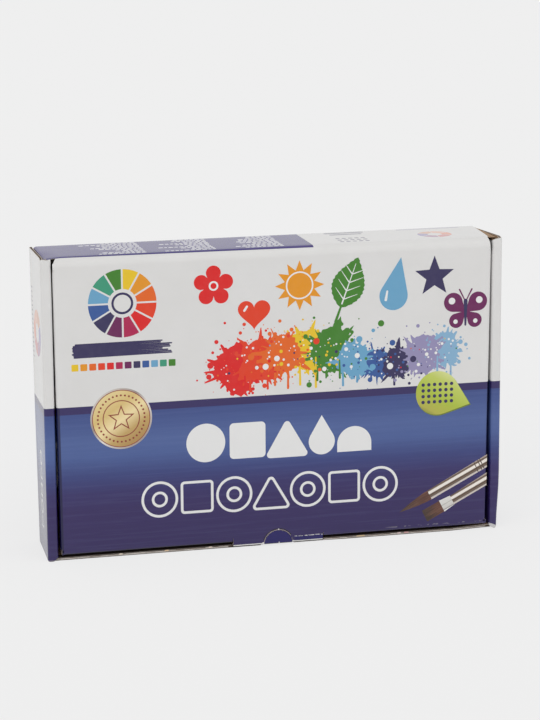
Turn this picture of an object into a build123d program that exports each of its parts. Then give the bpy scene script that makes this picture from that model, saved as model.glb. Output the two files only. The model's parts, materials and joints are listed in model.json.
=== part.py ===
from build123d import *
import math
import os

# A gouache paint box: a flat carton folded from one sheet of thin corrugated board, with a lid on
# its back wall, that holds rows of round jars of paint. It stands on its front wall, as it is shown
# in a shop: X runs along its width, the lid faces -Y and the back wall is on top. The origin is the
# middle of the face that it stands on. Millimetres and degrees.

# Jars of paint
jar_columns = 6
jar_rows = 4
jar_play = 0.5             # room between two neighbouring jars
jar_height = 36.0          # with its cap on
jar_headroom = 0.5         # room between the caps and the shut lid
cap_diameter = 36.5
cap_wall = 1.0
cap_top = 1.0              # thickness of the cap's disc
cap_ring_width = 1.6       # raised ring round the cap's disc, which the next jar's foot stands in
cap_ring_height = 0.8
cap_skirt = 7.0            # how far the cap reaches down the cup
snap_play = 0.25           # between the cap's skirt and the cup's rim
plug_depth = 2.4           # sealing ring under the cap
plug_wall = 0.9
plug_play = 0.1
cup_wall = 0.9
cup_floor = 1.0
cup_draft = 0.8            # how much narrower the cup's radius is at its base
foot_width = 2.0           # ring that the cup stands on
foot_recess = 0.4
ledge_width = 0.8          # ring round the cup, just under the cap's skirt
ledge_thickness = 0.8
ledge_play = 0.4
paint_headspace = 3.4      # from the cup's rim down to the paint
paint_dish = 0.5           # the paint's surface is this much lower in the middle
paint_play = 0.05

# Corrugated board and its folds
board = 1.5                # thickness
crease_radius = 3.0        # outside radius of the soft fold between back wall and lid
fold_radius = 1.2          # outside radius of the other folds
corner_cut = 2.5           # die-cut relief in the corners beside the lid's fold

# Side walls, each rolled over into a double wall
flap_play = 0.5            # room on each side of a corner flap inside the double wall
flap_length = 45.0         # how far a corner flap reaches along the side wall
outer_end_gap = 0.4        # the outer wall's ends stop this much short of the carton's ends
rim_end_gap = 1.0          # the same for the rolled rim
wall_end_play = 0.5        # between the inner wall's ends and the front and back walls
lock_tab_width = 24.0
lock_tab_spacing = 76.0    # between the middles of a wall's two lock tabs
lock_tab_short = 0.1       # the tab's end lies this much inside the bottom's outer face
slot_play = 0.25

# Lid, with its tuck flap, ears, pull tongue and thumb tab
lid_gap = 0.5              # between the lid's edges and the rolled rims
tuck_gap = 1.4             # between the front wall and the tuck flap at its fold
tuck_depth = 20.0
tuck_inset = 1.0           # how much narrower the tuck flap is than the lid, at each end
tuck_corner = 9.0
tuck_lean = 3.0            # degrees that the shut flap leans in from square
tuck_play = 0.45           # between the tuck flap's tip and the lowest jars
back_play = 2.1            # between the highest jars and the back wall
ear_depth = 25.0
ear_lean = 5.0             # degrees that the shut ears lean in from square
ear_play = 0.6             # between an ear's tip and the jars
ear_root_gap = 4.0         # from the lid's hinge to the ear's upper end
ear_foot_gap = 1.6         # from the tuck flap's root to the ear's lower end
ear_foot_rise = 3.0        # how much the ear's lower edge climbs towards its tip
ear_taper = 0.6            # the ear is no deeper than this share of the distance to the hinge
ear_corner = 7.0
tongue_width = 48.0
tongue_floor_gap = 0.3
tongue_kerf = 0.4          # cut line between the tongue and the tuck flap
thumb_radius = 7.8
thumb_kerf = 0.25
thumb_room = 1.2           # notch behind the thumb tab, all round
thumb_slant = 2.0          # how much narrower the front wall's notch is at its root, on each side
front_edge_gap = 0.3       # between the lid's inner face and the front wall's raw edge

paint_names = [
    "white", "lemon_yellow", "yellow", "deep_yellow", "orange", "scarlet",
    "red", "carmine", "pink", "magenta", "violet", "lilac",
    "dark_blue", "blue", "sky_blue", "turquoise", "emerald_green", "green",
    "light_green", "olive_green", "yellow_ochre", "red_brown", "brown", "black",
]

# Places that follow from the sizes above
cap_radius = cap_diameter / 2
jar_pitch = cap_diameter + jar_play
rim_width = 3 * board + 2 * flap_play
ear_room = board * math.cos(math.radians(ear_lean)) + ear_depth * math.sin(math.radians(ear_lean))
tuck_room = board * math.cos(math.radians(tuck_lean)) + tuck_depth * math.sin(math.radians(tuck_lean))

jars_half = (jar_columns * jar_pitch - jar_play) / 2
lid_half = jars_half + ear_play + ear_room
inner_x = lid_half + lid_gap                 # inner face of an inner side wall
outer_x = inner_x + rim_width                # outer face of an outer side wall
flap_x = inner_x + board + flap_play         # inner face of a corner flap
end_wall_half = flap_x + board               # half the length of the front and back walls

depth = jar_height + jar_headroom + 2 * board
front_y = -depth / 2                         # the lid's outer face
rear_y = depth / 2                           # the bottom panel's outer face
lid_inner_y = front_y + board
bottom_inner_y = rear_y - board
front_edge_y = lid_inner_y + front_edge_gap

lid_bottom_z = board + tuck_gap
jars_bottom_z = lid_bottom_z + tuck_room + tuck_play
jars_top_z = jars_bottom_z + jar_rows * jar_pitch - jar_play
back_inner_z = jars_top_z + back_play
height = back_inner_z + board
lid_top_z = height - crease_radius           # the lid's hinge line
tongue_bottom_z = tongue_floor_gap
tongue_height = lid_bottom_z - tongue_bottom_z
thumb_top_z = tongue_bottom_z + thumb_radius - thumb_kerf

cup_rim_radius = cap_radius - cap_wall - snap_play
cup_base_radius = cup_rim_radius - cup_draft
cup_height = jar_height - cap_top - cap_ring_height
ledge_top_z = cup_height - cap_skirt - ledge_play

same_place = 0.001
through = 3 * board                          # long enough to cut right through a board


def block(x_range, y_range, z_range):
    """A plain board between two corners."""
    sizes = [high - low for low, high in (x_range, y_range, z_range)]
    return Pos(x_range[0], y_range[0], z_range[0]) * Box(*sizes, align=(Align.MIN, Align.MIN, Align.MIN))


def edges_at(shape, direction, **place):
    """The edges along a direction whose middles have the given coordinates."""
    def fits(edge):
        middle = edge.center()
        return all(abs(getattr(middle, key) - value) < same_place for key, value in place.items())
    return [edge for edge in shape.edges().filter_by(direction) if fits(edge)]


def mirrored(shape):
    """The same piece on the other side of the box."""
    return mirror(shape, about=Plane.YZ)


def bottom_panel():
    """The bottom of the carton, upright at the rear, with slots for the side walls' lock tabs."""
    panel = block((-(outer_x - board), outer_x - board), (bottom_inner_y, rear_y), (board, back_inner_z))
    for side in (-1, 1):
        for z in lock_tab_heights():
            slot = Box(board + 2 * slot_play, through, lock_tab_width + 2 * slot_play)
            panel -= Pos(side * (inner_x + board / 2), rear_y - board / 2, z) * slot
    return panel


def lock_tab_heights():
    """Where the middles of a side wall's lock tabs are."""
    return [height / 2 + share * lock_tab_spacing for share in (-0.5, 0.5)]


def back_wall():
    """The wall on top, with the soft fold that leads down to the lid."""
    fold_y = front_y + crease_radius
    fold_half = lid_half - corner_cut
    wall = block((-end_wall_half, end_wall_half), (fold_y, rear_y), (back_inner_z, height))
    wall = fillet(edges_at(wall, Axis.X, Y=rear_y, Z=height), fold_radius)
    tube = Cylinder(crease_radius, 2 * fold_half) - Cylinder(crease_radius - board, 2 * fold_half)
    fold = Pos(0, fold_y, lid_top_z) * Rot(0, 90, 0) * tube
    return wall + (fold & block((-fold_half, fold_half), (front_y, fold_y), (lid_top_z, height)))


def front_wall():
    """The wall that the box stands on, with a slant-sided notch for the thumb in its raw edge."""
    wall = block((-end_wall_half, end_wall_half), (front_edge_y, rear_y), (0, board))
    wall = fillet(edges_at(wall, Axis.X, Y=rear_y, Z=0), fold_radius)
    mouth_half = thumb_radius + thumb_room
    root_half = mouth_half - thumb_slant
    root_y = front_edge_y + mouth_half
    right_side = [(mouth_half, front_y), (mouth_half, front_edge_y), (root_half, root_y)]
    left_side = [(-x, y) for x, y in reversed(right_side)]
    return wall - extrude(Polygon(*right_side, *left_side, align=None), through)


def right_outer_wall():
    """The outer leaf of the right side wall."""
    leaf = block((outer_x - board, outer_x), (lid_inner_y, rear_y), (outer_end_gap, height - outer_end_gap))
    return fillet(edges_at(leaf, Axis.Z, X=outer_x, Y=rear_y), fold_radius)


def right_rolled_rim():
    """The strip where the right side wall rolls over from its outer to its inner leaf."""
    strip = block((inner_x, outer_x), (front_y, lid_inner_y), (rim_end_gap, height - rim_end_gap))
    return fillet(edges_at(strip, Axis.Z, Y=front_y), fold_radius)


def right_inner_wall():
    """The inner leaf of the right side wall, with lock tabs that stand in the bottom's slots."""
    z_range = (board + wall_end_play, back_inner_z - wall_end_play)
    leaf = block((inner_x, inner_x + board), (lid_inner_y, bottom_inner_y), z_range)
    for z in lock_tab_heights():
        tab_z = (z - lock_tab_width / 2, z + lock_tab_width / 2)
        leaf += block((inner_x, inner_x + board), (bottom_inner_y, rear_y - lock_tab_short), tab_z)
    return leaf


def right_corner_flap(root_z, tip_z, front_end_y):
    """A flap that turns in from an end wall and lies inside the double side wall."""
    z_range = (min(root_z, tip_z), max(root_z, tip_z))
    flap = block((flap_x, flap_x + board), (front_end_y, bottom_inner_y - flap_play), z_range)
    return fillet(edges_at(flap, Axis.X, Z=tip_z), fold_radius)


def lid_panel():
    """The lid's face, with the pull tongue over the front wall's edge and the thumb cut-out."""
    panel = block((-lid_half, lid_half), (front_y, lid_inner_y), (lid_bottom_z, lid_top_z))
    side_folds = edges_at(panel, Axis.Z, Y=front_y)
    tuck_fold = edges_at(panel, Axis.X, Y=front_y, Z=lid_bottom_z)
    panel = fillet(side_folds + tuck_fold, fold_radius)
    tongue_half = tongue_width / 2
    tongue_z = (tongue_bottom_z, lid_bottom_z + fold_radius)
    panel += block((-tongue_half, tongue_half), (front_y, lid_inner_y), tongue_z)
    panel -= Pos(0, front_y, tongue_bottom_z) * Rot(90, 0, 0) * Cylinder(thumb_radius, through)
    cutter = Box(corner_cut * math.sqrt(2), through, corner_cut * math.sqrt(2))
    for side in (-1, 1):
        panel -= Pos(side * lid_half, front_y, lid_top_z) * Rot(0, 45, 0) * cutter
    return panel


def thumb_tab():
    """The half-moon that the thumb pushes in to take hold of the lid."""
    disc = Pos(0, front_y + board / 2, tongue_bottom_z) * Rot(90, 0, 0)
    disc *= Cylinder(thumb_radius - thumb_kerf, board)
    return disc & block((-thumb_radius, thumb_radius), (front_y, lid_inner_y), (tongue_bottom_z, thumb_top_z))


def lid_tuck_flap():
    """The flap on the lid's lower edge that tucks in behind the front wall."""
    half = lid_half - tuck_inset
    tip_y = lid_inner_y + tuck_depth
    flap = block((-half, half), (lid_inner_y, tip_y), (lid_bottom_z, lid_bottom_z + board))
    flap = fillet(edges_at(flap, Axis.Z, Y=tip_y), tuck_corner)
    cut_half = tongue_width / 2 + tongue_kerf
    cut_y = (lid_inner_y - board, lid_inner_y + tongue_height + tongue_kerf)
    flap -= block((-cut_half, cut_half), cut_y, (0, lid_bottom_z + through))
    flap -= Pos(0, lid_inner_y, lid_bottom_z) * Cylinder(thumb_radius + thumb_room, through)
    flap = flap.rotate(Axis((0, lid_inner_y, lid_bottom_z), (1, 0, 0)), tuck_lean)
    return flap - block((-half, half), (front_y, lid_inner_y), (0, lid_bottom_z + through))


def right_lid_ear():
    """The flap on the lid's right edge that slides in beside the jars."""
    tip_y = lid_inner_y + ear_depth
    foot_z = lid_bottom_z + board + ear_foot_gap
    outline = [
        (lid_inner_y, foot_z),
        (tip_y, foot_z + ear_foot_rise),
        (tip_y, lid_top_z - ear_depth / ear_taper),
        (lid_inner_y, lid_top_z - ear_root_gap),
    ]
    face = Plane.YZ * Polygon(*outline, align=None)
    ear = Pos(lid_half - board, 0, 0) * extrude(face, board)
    ear = fillet([edge for edge in ear.edges().filter_by(Axis.X) if edge.center().Y > tip_y - same_place],
                 ear_corner)
    ear = ear.rotate(Axis((lid_half, lid_inner_y, 0), (0, 0, 1)), ear_lean)
    return ear - block((inner_x - rim_width, inner_x), (front_y, lid_inner_y), (0, height))


def cup_outer_radius(z):
    """Outside radius of a cup at a height above its base."""
    return cup_base_radius + cup_draft * z / cup_height


def cup_inner_radius(z):
    """Inside radius of a cup at a height above its base."""
    share = (z - cup_floor) / (cup_height - cup_floor)
    return cup_base_radius - cup_wall + cup_draft * share


def turned(*points):
    """A round piece from half its outline, given as radius and height."""
    return revolve(Plane.XZ * Polygon(*points, align=None), axis=Axis.Z)


def jar_cup():
    """One cup, upright on its foot ring."""
    ledge_bottom_z = ledge_top_z - ledge_thickness
    ledge_radius = cup_outer_radius(ledge_top_z) + ledge_width
    foot_radius = cup_base_radius - foot_width
    return turned(
        (0, foot_recess),
        (foot_radius, foot_recess),
        (foot_radius, 0),
        (cup_base_radius, 0),
        (cup_outer_radius(ledge_bottom_z), ledge_bottom_z),
        (ledge_radius, ledge_bottom_z),
        (ledge_radius, ledge_top_z),
        (cup_outer_radius(ledge_top_z), ledge_top_z),
        (cup_rim_radius, cup_height),
        (cup_inner_radius(cup_height), cup_height),
        (cup_inner_radius(cup_floor), cup_floor),
        (0, cup_floor),
    )


def jar_cap():
    """One snap-on cap, in place over a cup that stands at the origin."""
    seat_z = cup_height
    disc_z = seat_z + cap_top
    plug_outer = cup_inner_radius(cup_height) - plug_play - cup_draft * plug_depth / cup_height
    ring_inner = cap_radius - cap_ring_width
    return turned(
        (0, seat_z),
        (plug_outer - plug_wall, seat_z),
        (plug_outer - plug_wall, seat_z - plug_depth),
        (plug_outer, seat_z - plug_depth),
        (plug_outer, seat_z),
        (cap_radius - cap_wall, seat_z),
        (cap_radius - cap_wall, seat_z - cap_skirt),
        (cap_radius, seat_z - cap_skirt),
        (cap_radius, disc_z + cap_ring_height),
        (ring_inner, disc_z + cap_ring_height),
        (ring_inner, disc_z),
        (0, disc_z),
    )


def paint_fill():
    """The paint in one cup, with a slightly dished surface."""
    surface_z = cup_height - paint_headspace
    return turned(
        (0, cup_floor),
        (cup_inner_radius(cup_floor) - paint_play, cup_floor),
        (cup_inner_radius(surface_z) - paint_play, surface_z),
        (0, surface_z - paint_dish),
    )


def jar_place(column, row):
    """Lays a jar's parts in the box, with its base on the bottom panel and its cap to the lid."""
    x = -jars_half + cap_radius + column * jar_pitch
    z = jars_top_z - cap_radius - row * jar_pitch
    return Pos(x, bottom_inner_y, z) * Rot(90, 0, 0)


def save(name, shape):
    """Writes one sub-part."""
    export_step(shape, f"parts/{name}.step")


def save_pair(name, shape):
    """Writes a right-hand piece and its mirror image on the left."""
    save(f"right_{name}", shape)
    save(f"left_{name}", mirrored(shape))


def save_carton():
    """Writes the carton's panels, walls and flaps."""
    save("bottom_panel", bottom_panel())
    save("back_wall", back_wall())
    save("front_wall", front_wall())
    save_pair("outer_wall", right_outer_wall())
    save_pair("rolled_rim", right_rolled_rim())
    save_pair("inner_wall", right_inner_wall())
    front_flap = right_corner_flap(board, board + flap_length, lid_inner_y + flap_play)
    back_flap = right_corner_flap(back_inner_z, back_inner_z - flap_length, front_y + crease_radius)
    save_pair("front_corner_flap", front_flap)
    save_pair("back_corner_flap", back_flap)


def save_lid():
    """Writes the lid and what is folded from it."""
    save("lid_panel", lid_panel())
    save("thumb_tab", thumb_tab())
    save("lid_tuck_flap", lid_tuck_flap())
    save_pair("lid_ear", right_lid_ear())


def save_jars():
    """Writes the jars: cups and caps by column, and each paint by its colour, row by row."""
    cup, cap, paint = jar_cup(), jar_cap(), paint_fill()
    for column in range(jar_columns):
        places = [jar_place(column, row) for row in range(jar_rows)]
        save(f"jar_cups_column_{column + 1}", Compound([place * cup for place in places]))
        save(f"jar_caps_column_{column + 1}", Compound([place * cap for place in places]))
    for number, name in enumerate(paint_names[:jar_columns * jar_rows]):
        row, column = divmod(number, jar_columns)
        save(f"paint_{name}", jar_place(column, row) * paint)


os.makedirs("parts", exist_ok=True)
save_carton()
save_lid()
save_jars()
print(f"closed carton {2 * outer_x:.1f} x {depth:.1f} x {height:.1f} mm, jar pitch {jar_pitch:.1f} mm")
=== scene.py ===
import json
import math
import random

import bmesh
import bpy
from mathutils import Matrix, Vector, noise


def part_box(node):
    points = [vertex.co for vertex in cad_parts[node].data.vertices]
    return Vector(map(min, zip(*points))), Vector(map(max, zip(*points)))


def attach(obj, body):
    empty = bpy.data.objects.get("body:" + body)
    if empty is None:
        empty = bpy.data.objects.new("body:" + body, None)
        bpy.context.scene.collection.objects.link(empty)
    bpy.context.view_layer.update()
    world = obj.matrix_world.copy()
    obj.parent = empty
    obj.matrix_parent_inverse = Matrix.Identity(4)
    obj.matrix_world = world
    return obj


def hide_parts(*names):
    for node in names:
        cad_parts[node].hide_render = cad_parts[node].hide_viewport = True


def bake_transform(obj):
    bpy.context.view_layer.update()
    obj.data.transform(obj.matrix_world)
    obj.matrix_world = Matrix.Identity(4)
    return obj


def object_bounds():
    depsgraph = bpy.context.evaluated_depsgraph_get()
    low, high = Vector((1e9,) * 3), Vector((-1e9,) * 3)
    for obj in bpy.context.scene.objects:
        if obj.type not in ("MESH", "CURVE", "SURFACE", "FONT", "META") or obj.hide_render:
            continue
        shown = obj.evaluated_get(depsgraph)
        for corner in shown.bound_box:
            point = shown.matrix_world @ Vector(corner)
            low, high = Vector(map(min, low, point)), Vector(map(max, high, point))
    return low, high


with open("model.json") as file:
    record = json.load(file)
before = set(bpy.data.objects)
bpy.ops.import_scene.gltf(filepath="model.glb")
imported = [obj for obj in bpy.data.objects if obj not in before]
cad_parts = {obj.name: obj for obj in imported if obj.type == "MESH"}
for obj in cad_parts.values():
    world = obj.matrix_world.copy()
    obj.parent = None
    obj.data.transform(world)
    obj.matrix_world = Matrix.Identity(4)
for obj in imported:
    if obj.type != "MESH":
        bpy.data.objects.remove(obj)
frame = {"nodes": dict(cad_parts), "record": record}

# A gouache paint box: a carton of printed corrugated board, folded from one sheet, with jars of paint
# inside. Every board is a flat outline that is cut, folded and given its two liners and its fluting.
# Lengths are millimetres until a mesh is finished, and each mesh is then scaled to metres.

cad_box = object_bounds()

MM = 0.001


def corners(node):
    """The lowest and highest corner of a CAD node, in millimetres."""
    low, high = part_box(node)
    return low / MM, high / MM


# Places of the carton, read from the frame
lid_low, lid_high = corners("lid_panel")
front_low, front_high = corners("front_wall")
bottom_low, bottom_high = corners("bottom_panel")
inner_low, inner_high = corners("right_inner_wall")
outer_low, outer_high = corners("right_outer_wall")
tuck_low, tuck_high = corners("lid_tuck_flap")
ear_low, ear_high = corners("right_lid_ear")
front_flap_low, front_flap_high = corners("right_front_corner_flap")
back_flap_low, back_flap_high = corners("right_back_corner_flap")

print_room = 0.05                      # the printed face lies this much inside the CAD face
face_y = lid_low.y + print_room
top_z = corners("back_wall")[1].z - print_room
side_x = outer_high.x - print_room
rear_y = bottom_high.y
lid_half = lid_high.x
lid_inner_y = lid_high.y
lid_bottom_z = tuck_low.z
tongue_bottom_z = lid_low.z
wall_end_x = front_high.x

# Board, as 1.5 mm micro-flute board is made
board = inner_high.x - inner_low.x
liner = 0.3
medium_paper = 0.14
flute_pitch = 3.2
flute_height = (board - 2 * liner - medium_paper) / 2
fold_radius = 1.6
fold_start_x = wall_end_x - fold_radius
crease_radius = 5.0                    # the soft fold between the top face and the lid
crease_run = 1.0
crease_reach = 2.4                     # how far a crease strip reaches in on the lid's face
lid_top_z = top_z - crease_radius - crease_run
tuck_half = lid_half - 1.5
wedge = 3.2                            # how much of the right side wall's top the top board leaves bare

# Lock tabs of the inner walls, and the pull tongue of the lid
tab_offset = 38.0                      # from the middle of the box to the middle of a lock tab
tab_middles = [cad_box[1][2] / MM / 2 + side * tab_offset for side in (-1, 1)]
tab_half = 12.0
slot_room = 0.25
tongue_half = 24.0
tongue_slit = 0.4
tongue_rise = 0.6                      # how far the printed tongue ends above the CAD tongue's foot
thumb_radius = 7.8
dent_z = 4.0                           # height of the line along which the tongue is pushed in

# Print, as heights above the standing face
stripe_low = 76.5
stripe_high = 80.4
top_print_end = 20.0                   # where the dark block on the top face ends, along X
ink_step = 0.004                       # between one level of ink and the next
ink_root = 0.02                        # how far a shape of ink reaches into the board


def linear(*rgb):
    """A colour given as it is seen, 0 to 255, in Blender's linear values."""
    shares = [value / 255 for value in rgb]
    return tuple(c / 12.92 if c <= 0.04045 else ((c + 0.055) / 1.055) ** 2.4 for c in shares) + (1.0,)


def printed(*rgb):
    """A printed colour given as it is seen, less the light that its gloss varnish adds."""
    gloss = 0.022
    return tuple(max(0.003, part - gloss) for part in linear(*rgb)[:3]) + (1.0,)


STRIPE = printed(63, 56, 99)
RED = printed(216, 42, 36)
VERMILION = printed(222, 68, 36)
ORANGE = printed(224, 104, 38)
AMBER = printed(224, 148, 44)
YELLOW = printed(228, 192, 50)
GREEN = printed(70, 128, 50)
SEA_GREEN = printed(66, 150, 120)
LIGHT_BLUE = printed(108, 162, 196)
BLUE = printed(62, 92, 152)
NAVY = printed(61, 56, 92)
PURPLE = printed(108, 44, 90)
CRIMSON = printed(172, 36, 84)
LILAC = printed(148, 142, 178)
INK_WHITE = linear(226, 226, 225)

HUES = (YELLOW, AMBER, ORANGE, VERMILION, RED, CRIMSON, PURPLE, NAVY, BLUE, LIGHT_BLUE, SEA_GREEN, GREEN)
PALE_HUES = (linear(226, 178, 160), linear(222, 150, 130), linear(206, 140, 140), linear(176, 140, 164),
             linear(158, 150, 186), linear(214, 170, 150))


# Shader nodes

class Sock:
    """A shader socket that takes part in sums like a number."""

    def __init__(self, shader, socket):
        self.shader = shader
        self.socket = socket

    def math(self, operation, *others):
        return self.shader.math(operation, self, *others)

    def __add__(self, other):
        return self.math("ADD", other)

    def __sub__(self, other):
        return self.math("SUBTRACT", other)

    def __mul__(self, other):
        return self.math("MULTIPLY", other)

    def __truediv__(self, other):
        return self.math("DIVIDE", other)

    def __rsub__(self, other):
        return self.shader.math("SUBTRACT", other, self)

    __radd__ = __add__
    __rmul__ = __mul__

    def above(self, edge):
        return self.math("GREATER_THAN", edge)

    def below(self, edge):
        return self.math("LESS_THAN", edge)

    def at_least(self, other):
        return self.math("MAXIMUM", other)

    def wave(self, pitch):
        """A sine from -1 to 1 with the given pitch."""
        return (self * (2 * math.pi / pitch)).math("SINE")

    def smooth(self, low, high):
        """0 below low, 1 above high, and a soft step between them."""
        settings = {"interpolation_type": "SMOOTHSTEP"}
        values = {"Value": self, "From Min": low, "From Max": high}
        return self.shader.node("ShaderNodeMapRange", settings, values)

    def past(self, edge, soft=0.1):
        """0 before an edge, 1 past it, and a soft step over it."""
        return self.smooth(edge - soft, edge + soft)

    def band(self, low, high, soft):
        """1 between low and high, with soft ends."""
        return self.past(low, soft) * (1 - self.past(high, soft))


class Shader:
    """The node tree of one material, or of the world."""

    def __init__(self, name, kind="materials"):
        self.owner = getattr(bpy.data, kind).new(name)
        self.owner.use_nodes = True
        self.tree = self.owner.node_tree
        self.tree.nodes.clear()

    def feed(self, socket, value):
        if isinstance(value, Sock):
            self.tree.links.new(value.socket, socket)
        else:
            socket.default_value = value

    def node(self, kind, settings=None, values=None, out=0):
        """Adds a node, gives it its settings and then its inputs, and returns an output."""
        node = self.tree.nodes.new(kind)
        for key, value in (settings or {}).items():
            setattr(node, key, value)
        for key, value in (values or {}).items():
            self.feed(node.inputs[key], value)
        return Sock(self, node.outputs[out]) if len(node.outputs) else None

    def math(self, operation, *values):
        return self.node("ShaderNodeMath", {"operation": operation}, dict(enumerate(values)))

    def mix(self, share, first, second):
        """One colour turning into another."""
        values = {0: share, 6: first, 7: second}
        return self.node("ShaderNodeMix", {"data_type": "RGBA"}, values, out=2)

    def ramp(self, share, stops, made=linear):
        """Colours along a share, from stops of (position, red, green, blue)."""
        ramp = self.node("ShaderNodeValToRGB", values={"Fac": share})
        elements = ramp.socket.node.color_ramp.elements
        while len(elements) < len(stops):
            elements.new(1.0)
        for element, (position, *rgb) in zip(elements, stops):
            element.position = position
            element.color = made(*rgb)
        return ramp

    def attribute(self, name, out=0):
        return self.node("ShaderNodeAttribute", {"attribute_name": name}, out=out)

    def rest_place(self):
        """Where a point of a folded board is with the box shut, in millimetres, as x, y, z."""
        return self.split(self.attribute("rest", out=1))

    def own_place(self):
        """A point's own coordinates in millimetres, as x, y, z."""
        return self.split(self.node("ShaderNodeTexCoord", out=3))

    def split(self, vector):
        scaled = self.node("ShaderNodeVectorMath", {"operation": "SCALE"}, {0: vector, "Scale": 1 / MM})
        parts = self.node("ShaderNodeSeparateXYZ", values={0: scaled}).socket.node
        return [Sock(self, parts.outputs[axis]) for axis in range(3)]

    def noise(self, place, size, detail=2.0, stretch=(1, 1, 1)):
        """Noise from 0 to 1 with features of about the given size in millimetres."""
        scaled = [part * (1 / (size * factor)) for part, factor in zip(place, stretch)]
        vector = self.node("ShaderNodeCombineXYZ", values=dict(enumerate(scaled)))
        values = {"Vector": vector, "Scale": 1.0, "Detail": detail}
        return self.node("ShaderNodeTexNoise", values=values)

    def finish(self, colour, roughness, height=None, **constants):
        """Ends the tree in a Principled shader. height is a relief in millimetres."""
        values = {"Base Color": colour, "Roughness": roughness}
        if height is not None:
            bump = {"Strength": 1.0, "Distance": MM, "Height": height}
            values["Normal"] = self.node("ShaderNodeBump", values=bump)
        values.update({key.replace("_", " "): value for key, value in constants.items()})
        surface = self.node("ShaderNodeBsdfPrincipled", values=values)
        self.node("ShaderNodeOutputMaterial", values={"Surface": surface})
        return self.owner


# Print and paper

def varnish(shader, colour, place, along):
    """Gloss varnish over print on fluted board: a faint washboard, paper grain and an uneven gloss."""
    grain = shader.noise(place, 0.5)
    cloud = shader.noise(place, 26)
    height = along.wave(flute_pitch) * 0.004 + grain * 0.006 + cloud * 0.05
    roughness = 0.16 + grain * 0.06 + (cloud - 0.5) * 0.06
    return shader.finish(colour, roughness, height, Specular_IOR_Level=0.5)


def streaked(shader, colour, place, along):
    """Fine streaks along the flutes, where the ink lies thinner on their crests."""
    stretch = (40, 40, 1) if along is place[2] else (40, 1, 40)
    streak = shader.noise(place, 1.6, 3, stretch)
    fine = shader.noise(place, 0.5, 2, stretch)
    lift = (streak - 0.5) * 0.07 + (fine - 0.5) * 0.05 + along.wave(flute_pitch) * 0.004
    brighter = shader.mix((lift * 3).at_least(0), colour, linear(120, 132, 176))
    return shader.mix((lift * -3).at_least(0), brighter, linear(40, 30, 70))


def paper_white(shader, place):
    """The white of the liner, a little uneven."""
    return shader.mix(shader.noise(place, 14, 3), linear(213, 212, 210), linear(219, 218, 217))


def fading_blue(shader, height):
    """The blue field that fades into violet towards the foot of the box."""
    stops = ((0.0, 62, 54, 96), (0.33, 63, 54, 98), (0.45, 64, 59, 106), (0.57, 67, 75, 126),
             (0.70, 81, 99, 151), (0.80, 86, 104, 155), (0.92, 76, 92, 144), (1.0, 70, 84, 136))
    return shader.ramp(height / stripe_low, stops, printed)


def print_by_height():
    """Print of the upright faces: white above, a violet stripe, and the fading blue field.

    On the lid's and the walls' front, shade is painted on the half-moon, on the pushed-in end of the tongue,
    on the lid's turned-in side edges and on the bend under its foot; the worn spots and the torn corner are
    wear."""
    shader = Shader("carton_print")
    place = shader.rest_place()
    x, y, z = place
    front = y.below(face_y + 2)
    colour = streaked(shader, fading_blue(shader, z), place, z)
    colour = shader.mix(z.past(stripe_low), colour, STRIPE)
    colour = shader.mix(z.past(stripe_high), colour, paper_white(shader, place))
    # Painted shade: the half-moon and the pushed-in right end of the tongue get a darker violet for the shade
    # of their tilt.
    moon = (x * x + z * z).below(thumb_radius ** 2)
    pushed_end_shade = x.band(9.0, tongue_half + 0.2, 0.1) * z.below(dent_z)
    # Painted shade on both of the lid's turned-in side edges, dark navy below the stripe.
    turned_in_shade = x.band(-lid_half - 0.1, 1.5 - lid_half, 0.2) + x.band(lid_half - 0.8, lid_half + 0.1, 0.2)
    # Painted shade: the bend under the lid's foot, left of the tongue, is made near black.
    lid_bend_shade = z.band(lid_bottom_z - 0.2, lid_bottom_z + 0.7, 0.15)
    lid_bend_shade = lid_bend_shade * x.band(3 - lid_half, -tongue_half, 0.5)
    chips = shader.noise(place, 0.9, 3, stretch=(2.2, 1, 1)).smooth(0.5, 0.62)
    worn_foot = z.band(lid_bottom_z + 1.7, lid_bottom_z + 2.3, 0.2) * x.band(60, lid_half - 3, 5) * chips
    rim_foot = x.below(-lid_half - 0.3) * z.below(0.8)
    torn = x.above(lid_half) * (z + (x - lid_half) * 0.3).below(3.3)
    # The first three tones are painted shade; then come the worn foot, the left rim's grey foot and the torn
    # corner.
    for share, tone in ((moon.at_least(pushed_end_shade) * 0.8, printed(46, 36, 102)),
                        (turned_in_shade * z.below(stripe_high) * 0.85, printed(30, 32, 70)),
                        (lid_bend_shade * 0.85, linear(16, 13, 20)),
                        (worn_foot * 0.3, linear(196, 192, 190)),
                        (rim_foot * 0.55, linear(150, 142, 144)),
                        (torn, linear(196, 194, 194))):
        colour = shader.mix(share * front, colour, tone)
    return varnish(shader, colour, place, z)


def print_inside():
    """The lined side of the inner walls: the print runs on over the rim a little, and ends at bare white."""
    shader = Shader("inner_liner")
    place = shader.rest_place()
    x, y, z = place
    white = paper_white(shader, place)
    colour = shader.mix(z.past(stripe_high), fading_blue(shader, z), white)
    colour = shader.mix(y.past(face_y + 12), colour, white)
    grain = shader.noise(place, 0.5)
    return shader.finish(colour, 0.5 + grain * 0.2, grain * 0.008, Specular_IOR_Level=0.3)


def print_on_top():
    """Print of the top face: a dark block on the left, and white, with a darker violet painted along the
    block's front fold as shade, strongest on the left.
    """
    shader = Shader("carton_print_top")
    place = shader.rest_place()
    x, y, z = place
    block = streaked(shader, printed(72, 62, 122), place, y)
    behind = y - face_y - 2.2 + (x - 8) * 0.0075
    inside = x.below(top_print_end) * behind.past(0)
    # Painted shade: a darker violet along the front fold of the block, strongest on the left.
    fold_shade = inside * (1 - (behind / (5.6 - (x + lid_half) * 0.042)).smooth(0.1, 1))
    colour = shader.mix(inside, paper_white(shader, place), block)
    colour = shader.mix(fold_shade * (0.75 - x.smooth(-70, 8) * 0.35), colour, printed(50, 38, 112))
    return varnish(shader, colour, place, y)


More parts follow.
